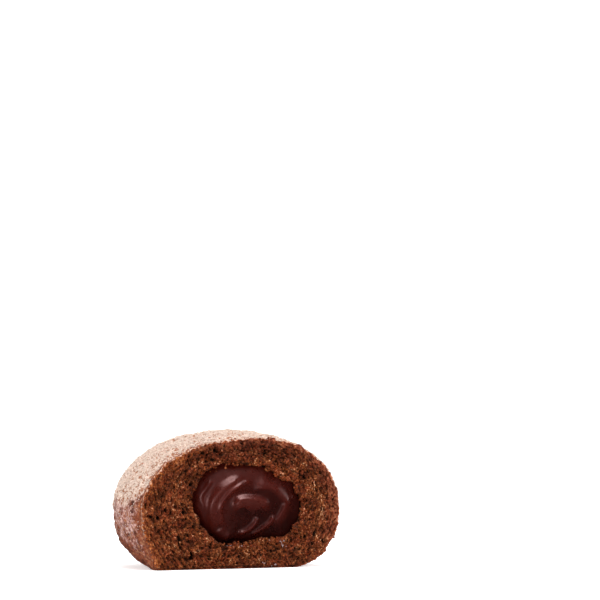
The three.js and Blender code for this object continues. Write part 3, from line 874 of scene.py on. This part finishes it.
class Nodes:
    """A short way to write a material's node tree. Lengths in it are in millimetres."""

    def __init__(self, name):
        self.material = bpy.data.materials.new(name)
        self.material.use_nodes = True
        self.tree = self.material.node_tree
        self.shader = self.tree.nodes["Principled BSDF"]
        place = self.add("TexCoord", {}).outputs["Object"]
        self.place = self.add("VectorMath", {0: place, 1: (1 / MM,) * 3}, operation="MULTIPLY").outputs[0]

    def plug(self, socket, value):
        if isinstance(value, bpy.types.NodeSocket):
            self.tree.links.new(value, socket)
        else:
            socket.default_value = value

    def add(self, kind, inputs, **settings):
        """A new node. Its inputs have names or numbers, and take a value or a link each."""
        node = self.tree.nodes.new("ShaderNode" + kind)
        for key, value in settings.items():
            setattr(node, key, value)
        for key, value in inputs.items():
            self.plug(node.inputs[key], value)
        return node

    def math(self, operation, a, b, clamp=False):
        return self.add("Math", {0: a, 1: b}, operation=operation, use_clamp=clamp).outputs[0]

    def between(self, a, b, share):
        """The values a and b mixed, with that share of b."""
        return self.math("ADD", self.math("MULTIPLY", a, 1 - share), self.math("MULTIPLY", b, share))

    def uneven(self, value, noise, middle, times):
        """The value, raised or lowered where the noise isn't at its middle."""
        return self.math("ADD", value, self.math("MULTIPLY", self.math("SUBTRACT", noise, middle), times))

    def noise(self, size, detail=2.0, rough=0.5):
        """Noise from 0 to 1 whose swells are about size across."""
        inputs = {"Vector": self.place, "Scale": 1 / size, "Detail": detail, "Roughness": rough}
        return self.add("TexNoise", inputs).outputs["Fac"]

    def ramp(self, value, *stops):
        """Colours or greys at places from 0 to 1."""
        node = self.add("ValToRGB", {"Fac": value})
        elements = node.color_ramp.elements
        while len(elements) < len(stops):
            elements.new(0.5)
        for element, (at, colour) in zip(elements, stops):
            element.position = at
            element.color = (*colour, 1) if isinstance(colour, tuple) else (colour, colour, colour, 1)
        return node.outputs["Color"]

    def step(self, value, start, end):
        return self.ramp(value, (start, 0.0), (end, 1.0))

    def blend(self, how_much, a, b, kind="MIX"):
        node = self.add("Mix", {"Factor": how_much}, data_type="RGBA", blend_type=kind)
        for socket, value in zip((s for s in node.inputs if s.type == "RGBA"), (a, b)):
            self.plug(socket, (*value, 1) if isinstance(value, tuple) else value)
        return next(s for s in node.outputs if s.type == "RGBA")

    def attribute(self, name):
        return self.add("Attribute", {}, attribute_name=name).outputs["Fac"]

    def bump(self, height, distance, strength=1.0):
        inputs = {"Strength": strength, "Distance": distance * MM, "Height": height}
        return self.add("Bump", inputs).outputs["Normal"]

    def finish(self, **sockets):
        for name, value in sockets.items():
            self.plug(self.shader.inputs[name.replace("_", " ")], value)
        return self.material


# Specular levels and tints
SHINE = {"crumb": 0.35, "crust": 0.4, "cream": 0.5}
TINT = {"crumb": (1.0, 0.55, 0.35, 1), "cream": (1.0, 0.58, 0.56, 1)}
# Two colours of crumb, each from its darkest tone to its lightest, whose rare last stop is painted glints
TONES = (0.39, 0.46, 0.54, 0.6, 0.64)
BROWN = (
    (0.024, 0.0045, 0.0015), (0.085, 0.016, 0.0035), (0.175, 0.038, 0.009), (0.33, 0.1, 0.03),
    (0.75, 0.42, 0.24),
)
RED = (
    (0.026, 0.0035, 0.0015), (0.085, 0.0125, 0.0035), (0.175, 0.029, 0.008), (0.31, 0.07, 0.02),
    (0.7, 0.36, 0.22),
)


def crumb_material():
    n = Nodes("chocolate_crumb")
    colour = n.blend(n.attribute("left"), crumb_colour(n), orange_colour(n))
    colour = n.blend(n.attribute("rim"), colour, ring_colour(n))
    # Darker behind the crust from baking, and at the foot as a painted contact shadow
    colour = n.blend(n.attribute("baked_and_foot_shadow"), colour, (0.4, 0.22, 0.17), "MULTIPLY")
    # Pores, creases, the lip and the pocket's wall take painted shade, nearly black
    return n.finish(
        Base_Color=n.blend(n.attribute("painted_shade"), colour, (0.014, 0.004, 0.002)),
        Roughness=n.ramp(n.noise(0.5, 3.0), (0.42, 0.25), (0.56, 0.8)),
        Normal=n.bump(n.noise(0.25, 4.0, 0.7), 0.3),
        Specular_IOR_Level=SHINE["crumb"],
        Specular_Tint=TINT["crumb"],
    )


def crust_material():
    n = Nodes("sugared_crust")
    colour = n.ramp(
        n.between(n.noise(2.2, 3.0, 0.6), n.noise(0.5, 4.0, 0.75), 0.6),
        (0.4, (0.05, 0.01, 0.005)),
        (0.48, (0.17, 0.036, 0.014)),
        (0.55, (0.28, 0.062, 0.022)),
        (0.63, (0.43, 0.14, 0.058)),
    )
    cover, edge, speckle = n.attribute("sugar"), n.attribute("edge"), n.noise(0.5, 4.0, 0.7)
    patches = n.math("ADD", n.noise(0.6, 4.0, 0.7), n.noise(2.0, 2.0))
    frost = n.math("SUBTRACT", n.uneven(cover, patches, 1.0, 1.5), edge)
    thin = n.ramp(speckle, (0.4, (0.38, 0.165, 0.14)), (0.6, (0.66, 0.44, 0.39)))
    thick = n.ramp(speckle, (0.4, (0.37, 0.18, 0.11)), (0.55, (0.66, 0.49, 0.4)))
    colour = n.blend(n.step(frost, 0.22, 0.6), colour, n.blend(n.step(cover, 0.4, 0.8), thin, thick))
    colour = n.blend(n.math("MULTIPLY", edge, 0.8), colour, orange_colour(n))
    in_pit = n.math("MULTIPLY", n.attribute("pit"), 5.0, clamp=True)
    return n.finish(
        Base_Color=n.blend(in_pit, colour, (0.34, 0.13, 0.06)),
        Roughness=n.ramp(frost, (0.0, 0.45), (1.0, 0.85)),
        Normal=n.bump(n.noise(0.3, 5.0, 0.7), 0.2),
        Specular_IOR_Level=SHINE["crust"],
    )


def crumb_colour(n):
    tone = n.between(n.noise(0.42, 4.0, 0.65), n.noise(2.5, 2.0), 0.32)
    # The last stop of each ramp is rare light specks: painted glints
    brown, red = (n.ramp(tone, *zip(TONES, colours)) for colours in (BROWN, RED))
    return n.blend(n.step(n.noise(1.4, 2.0), 0.44, 0.58), brown, red)


def crust_colour(n, dark, middle, light):
    return n.ramp(n.noise(0.6, 3.0, 0.6), (0.4, dark), (0.52, middle), (0.66, light))


def orange_colour(n):
    return crust_colour(n, (0.1, 0.017, 0.005), (0.23, 0.048, 0.012), (0.52, 0.17, 0.045))


def ring_colour(n):
    return crust_colour(n, (0.11, 0.017, 0.0085), (0.26, 0.055, 0.025), (0.52, 0.18, 0.085))


def rind_material():
    n = Nodes("crust_edge")
    place = n.uneven(n.attribute("rind"), n.noise(0.5, 4.0, 0.7), 0.5, 2.2)
    outer = n.blend(n.attribute("sugar"), (0.08, 0.02, 0.011), (0.6, 0.4, 0.3))
    ring = n.blend(n.attribute("left"), ring_colour(n), orange_colour(n))
    colour = n.blend(n.step(place, 0.05, 0.2), outer, ring)
    return n.finish(
        Base_Color=n.blend(n.step(place, 0.45, 0.65), colour, crumb_colour(n)),
        Roughness=n.ramp(n.noise(0.5, 2.0), (0.4, 0.35), (0.6, 0.65)),
        Normal=n.bump(n.noise(0.25, 4.0, 0.7), 0.15, 0.8),
        Specular_IOR_Level=SHINE["crust"],
        Specular_Tint=TINT["crumb"],
    )


def cream_material():
    n = Nodes("chocolate_cream")
    # Painted light and shade: the ramp runs from the painted shade of valleys and the groove to the
    # painted light of ridges
    tone = n.math("ADD", n.attribute("tone"), n.math("MULTIPLY", n.noise(3.0, 3.0), 0.15))
    dark, middle, light = (0.013, 0.0013, 0.0007), (0.04, 0.0036, 0.0017), (0.054, 0.0076, 0.0048)
    return n.finish(
        Base_Color=n.ramp(tone, (0.05, dark), (0.4, middle), (1.0, light)),
        Roughness=n.ramp(n.noise(2.0, 2.0), (0.35, 0.26), (0.65, 0.32)),
        Normal=n.bump(n.noise(2.5, 1.0), 0.03, 0.3),
        Specular_IOR_Level=SHINE["cream"],
        Specular_Tint=TINT["cream"],
    )


def sugar_material(name, tint):
    n = Nodes(name)
    colour = n.ramp(n.noise(0.8, 1.0), (0.35, tuple(0.85 * c for c in tint)), (0.6, tint))
    rough = n.ramp(n.noise(0.5, 1.0), (0.4, 0.25), (0.6, 0.55))
    return n.finish(Base_Color=colour, Roughness=rough)


# Sugar

def sugar_cover(points):
    """How much of the crust sugar covers, from 0 to 1, at points on it."""
    return np.interp(points[:, 2] + relief(*points.T, SUGAR_MOTTLE), SUGAR_HEIGHTS, SUGAR_COVER)


def scatter(rng, points, triangles, weight, count):
    """(places, normals) of things scattered over triangles, more where weight is larger."""
    a, b, c = (points[triangles[:, k]] for k in range(3))
    normal = np.cross(b - a, c - a)
    area = np.linalg.norm(normal, axis=1)
    chance = area * weight
    chosen = rng.choice(len(triangles), count, p=chance / chance.sum())
    s, t = rng.random((2, count, 1))
    flip = s + t > 1
    s, t = np.where(flip, 1 - s, s), np.where(flip, 1 - t, t)
    places = a[chosen] + s * (b - a)[chosen] + t * (c - a)[chosen]
    return places, normal[chosen] / area[chosen][:, None]


def turned_frames(rng, count):
    """Random rotations as 3 by 3 matrices."""
    q = rng.normal(size=(count, 4))
    w, x, y, z = (q / np.linalg.norm(q, axis=1, keepdims=True)).T
    rows = (
        [1 - 2 * (y * y + z * z), 2 * (x * y - z * w), 2 * (x * z + y * w)],
        [2 * (x * y + z * w), 1 - 2 * (x * x + z * z), 2 * (y * z - x * w)],
        [2 * (x * z - y * w), 2 * (y * z + x * w), 1 - 2 * (x * x + y * y)],
    )
    return np.stack([np.stack(row, -1) for row in rows], 1)


def grains(rng, places, normals, corners, faces, sizes, uneven, sunk):
    """Copies of one small solid at places, each turned, uneven and partly sunk."""
    count = len(places)
    shape = np.asarray(corners, float) * (1 + rng.uniform(-uneven, uneven, (count, len(corners), 3)))
    shape = np.einsum("nij,nkj->nki", turned_frames(rng, count), shape * sizes[:, None, None] / 2)
    points = places[:, None] + normals[:, None] * (sizes * (0.5 - sunk))[:, None, None] + shape
    triangles = np.asarray(faces)[None] + len(corners) * np.arange(count)[:, None, None]
    return points.reshape(-1, 3), triangles.reshape(-1, 3)


CUBE = CUBE_SHARE * np.array([(x, y, z) for x in (-1, 1) for y in (-1, 1) for z in (-1, 1)])
CUBE_SIDES = [(0, 1, 3, 2), (4, 6, 7, 5), (0, 4, 5, 1), (2, 3, 7, 6), (0, 2, 6, 4), (1, 5, 7, 3)]
CUBE_FACES = [half for a, b, c, d in CUBE_SIDES for half in ((a, b, c), (a, c, d))]
EIGHT = np.array([(1, 0, 0), (-1, 0, 0), (0, 1, 0), (0, -1, 0), (0, 0, 1), (0, 0, -1)])
EIGHT_FACES = [(0, 2, 4), (2, 1, 4), (1, 3, 4), (3, 0, 4), (2, 0, 5), (1, 2, 5), (3, 1, 5), (0, 3, 5)]
# Sugar: name, how much it keeps to well covered places, count, sizes, solid and colour
SUGARS = [
    ("sugar_crystals", 5.0, 9000, 0.2, 0.36, CUBE, CUBE_FACES, (0.77, 0.63, 0.54)),
    ("sugar_dust", 3.5, 24000, 0.12, 0.24, EIGHT, EIGHT_FACES, (0.7, 0.55, 0.46)),
]


def ball(times):
    """(corners, faces) of a ball of 8 * 4**times triangles."""
    corners, faces, middles = list(EIGHT), EIGHT_FACES, {}

    def middle(a, b):
        key = (min(a, b), max(a, b))
        if key not in middles:
            middles[key] = len(corners)
            between = corners[a] + corners[b]
            corners.append(between / np.linalg.norm(between))
        return middles[key]

    for _ in range(times):
        finer = []
        for a, b, c in faces:
            ab, bc, ca = middle(a, b), middle(b, c), middle(c, a)
            finer += [(a, ab, ca), (b, bc, ab), (c, ca, bc), (ab, bc, ca)]
        faces = finer
    return np.array(corners), faces


def crumb_places(rng):
    """(x, z, sizes) of the loose crumbs: on the lobes, round the mouth, at the crust and all over."""
    x, z = np.repeat(np.array(LOBES).T, LOBE_CRUMBS, axis=1)
    x, z = x + rng.normal(0, LOBE_SPREAD, len(x)), z + rng.normal(0, LOBE_SPREAD, len(z))
    sizes = rng.uniform(*LOBE_SIZES, len(x))
    angle = np.radians(rng.uniform(-MOUTH_SPAN, MOUTH_SPAN, MOUTH_CRUMBS))
    mouth_x, mouth_z = from_pocket(angle, mouth_reach(angle) + rng.normal(*MOUTH_SPREAD, MOUTH_CRUMBS))
    count = sum(n for n, _, _ in FACE_CRUMBS)
    edge_x, edge_z = section_place(rng.uniform(0, 2 * math.pi, count), -CUT)
    inward = np.concatenate([rng.uniform(near, far, n) for n, near, far in FACE_CRUMBS])
    edge_x, edge_z = mix(edge_x, POCKET_MIDDLE[0], inward), mix(edge_z, POCKET_MIDDLE[1], inward)
    sizes = [sizes, rng.uniform(*MOUTH_SIZES, MOUTH_CRUMBS), rng.uniform(*FACE_SIZES, count)]
    return tuple(np.concatenate(v) for v in ([x, mouth_x, edge_x], [z, mouth_z, edge_z], sizes))


def inside_edge(x, z):
    """How far places on the cut face lie inside of its edge."""
    outline = CutOutline(FACE_COLUMNS)
    turns = np.unwrap(outline.inward)
    reaches = np.linalg.norm(outline.edge - POCKET_MIDDLE, axis=1)
    turn = np.arctan2(z - POCKET_MIDDLE[1], x - POCKET_MIDDLE[0])
    turn = turns[0] + (turn - turns[0]) % (2 * math.pi)
    reach = np.interp(turn, turns, reaches, period=2 * math.pi)
    return reach - np.hypot(x - POCKET_MIDDLE[0], z - POCKET_MIDDLE[1])


def face_grains(rng, x, z, behind, *kind):
    """Grains on the cut face. Those in hollows lie at most so far behind the cut."""
    depth, _ = face_relief(x, z, inside_edge(x, z))
    places = np.stack([x, np.minimum(depth, behind - CUT), z], -1)
    return grains(rng, places, np.broadcast_to((0.0, -1.0, 0.0), places.shape), *kind)


def crumb_grains(rng):
    """(points, triangles, values at each point) of the loose crumbs."""
    x, z, sizes = crumb_places(rng)
    points, triangles = face_grains(rng, x, z, CRUMB_PROUD, *ball(2), sizes, CRUMB_UNEVEN, CRUMB_SUNK)
    points = points + np.stack([relief(*(points.T + BEND_SHIFT * k), CRUMB_BEND) for k in range(3)], -1)
    points[:, 2] = np.maximum(points[:, 2], GROUND_ROOM)
    colours = face_colours(x, z, inside_edge(x, z))
    return points, triangles, {k: np.repeat(v, len(points) // len(x)) for k, v in colours.items()}


def stray_grains(rng):
    """(points, triangles) of the sugar grains on the cut face."""
    x, z = np.repeat(np.array(STRAYS).T, STRAY_GRAINS, axis=1)
    x, z = (v + rng.normal(0, spread, len(v)) for v, spread in zip((x, z), STRAY_SPREAD))
    sizes = rng.uniform(*STRAY_SIZES, len(x))
    return face_grains(rng, x, z, 0.0, CUBE, CUBE_FACES, sizes, GRAIN_UNEVEN, GRAIN_SUNK)


def build_object():
    points, triangles, pit, rind, outside = crust_arrays()
    left = beyond(-points[:, 0], *LEFT_SIDE)
    edge = np.exp(-(points[:, 1] + CUT) / EDGE_FADE) * left
    crust_values = {"pit": pit, "sugar": sugar_cover(points), "rind": rind, "left": left, "edge": edge}
    paints = [crust_material(), rind_material()]
    crust = make_piece("crust", points, triangles, paints, "dough", values=crust_values)
    inner = np.arange(len(triangles)) >= outside
    crust.data.polygons.foreach_set("material_index", inner.astype(np.int32))
    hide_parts("dough")

    paints = [crumb_material()]
    crumb_points, crumb_triangles, crumb_values = crumb_arrays()
    crumb = make_piece("crumb", crumb_points, crumb_triangles, paints, "dough", values=crumb_values)
    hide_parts("dough")

    *cream_mesh, tone = cream_arrays()
    cream = make_piece("cream_filling", *cream_mesh, [cream_material()], "cream", values={"tone": tone})
    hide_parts("cream")

    rng = np.random.default_rng(SEED)
    *loose_mesh, colours = crumb_grains(rng)
    make_piece("loose_crumbs", *loose_mesh, paints, "dough", values=colours)
    paints = [sugar_material("stray_sugar", STRAY_TINT)]
    make_piece("stray_sugar", *stray_grains(rng), paints, "dough", smooth_shaded=False)
    skin = triangles[:outside]
    centres = points[skin].mean(axis=1)
    bare_pits = 1 - np.clip(PIT_BARENESS * pit[skin].mean(axis=1), 0, 1)
    bare_edge = beyond(centres[:, 1] + CUT, *SUGAR_START) * (centres[:, 2] > BARE_FOOT)
    cover = sugar_cover(centres) * (bare_edge * bare_pits)
    for name, power, count, smallest, largest, corners, faces, tint in SUGARS:
        places, normals = scatter(rng, points, skin, cover**power, count)
        sizes = rng.uniform(smallest, largest, count)
        solids = grains(rng, places, normals, corners, faces, sizes, GRAIN_UNEVEN, GRAIN_SUNK)
        make_piece(name, *solids, [sugar_material(name, tint)], "dough", smooth_shaded=False)


# The studio

def make_camera():
    focal = CAMERA_DISTANCE / MM_PER_PIXEL
    level = math.cos(ELEVATION)
    back = np.array([math.sin(AZIMUTH) * level, -math.cos(AZIMUTH) * level, math.sin(ELEVATION)])
    camera = bpy.data.objects.new("camera", bpy.data.cameras.new("camera"))
    camera.data.sensor_width = SENSOR
    camera.data.lens = focal * SENSOR / FRAME_PIXELS
    camera.data.clip_start = CLIP_START
    camera.location = (np.array(CAMERA_AIM) + back * CAMERA_DISTANCE) * MM + ORIGIN
    yaw = AZIMUTH + math.atan((AIM_PIXEL[0] - FRAME_PIXELS / 2) / focal)
    pitch = math.atan((AIM_PIXEL[1] - FRAME_PIXELS / 2) / focal) - ELEVATION
    camera.rotation_euler = (math.pi / 2 + pitch, 0, yaw)
    link(camera)
    bpy.context.scene.camera = camera


def stage_mesh(name, corners, faces, glow):
    """A white backdrop of flat faces that isn't part of the object."""
    mesh = bpy.data.meshes.new(name)
    mesh.from_pydata(corners, [], faces)
    stage = bpy.data.objects.new(name, mesh)
    n = Nodes(name + "_paint")
    mesh.materials.append(n.finish(
        Base_Color=BACKDROP,
        Roughness=1.0,
        Specular_IOR_Level=0.0,
        Emission_Color=(1, 1, 1, 1),
        Emission_Strength=glow,
    ))
    stage.visible_glossy = False
    link(stage)
    return stage


def area_light(name, place, size, radiance, lights):
    """A square light, size metres on a side, at place in metres, that faces the object."""
    light = bpy.data.lights.new(name, "AREA")
    light.shape = "SQUARE"
    light.size = size
    light.energy = radiance * math.pi * size * size
    lamp = bpy.data.objects.new(name, light)
    lamp.location = place
    lamp.visible_camera = False
    lamp.visible_diffuse = lights != "glossy"
    lamp.visible_glossy = lights != "diffuse"
    away = Vector(place) - Vector((0, 0, TOP / 2 * MM))
    lamp.rotation_euler = away.to_track_quat("Z", "Y").to_euler()
    link(lamp)


def make_world():
    """Even white light, left out of reflections so that the glossy cream stays dark."""
    world = bpy.data.worlds.new("studio")
    world.use_nodes = True
    world.node_tree.nodes["Background"].inputs["Color"].default_value = (1, 1, 1, 1)
    world.node_tree.nodes["Background"].inputs["Strength"].default_value = WORLD_LIGHT
    world.cycles_visibility.glossy = False
    bpy.context.scene.world = world


def make_studio():
    half = FLOOR_HALF
    square = [(-half, -half, 0), (half, -half, 0), (half, half, 0), (-half, half, 0)]
    stage_mesh("floor", square, [(0, 1, 2, 3)], FLOOR_GLOW)
    # Only the camera sees the wall round the floor
    corners = [(x, y, z) for z in (WALL_FOOT, half) for x, y, _ in square]
    sides = [(k, (k + 1) % 4, (k + 1) % 4 + 4, k + 4) for k in range(4)]
    wall = stage_mesh("wall", corners, sides, WHITE)
    wall.visible_diffuse = False
    wall.visible_shadow = False
    make_world()
    for light in LIGHTS:
        area_light(*light)
    bpy.context.scene.view_settings.view_transform = "Standard"


build_object()
make_camera()
make_studio()
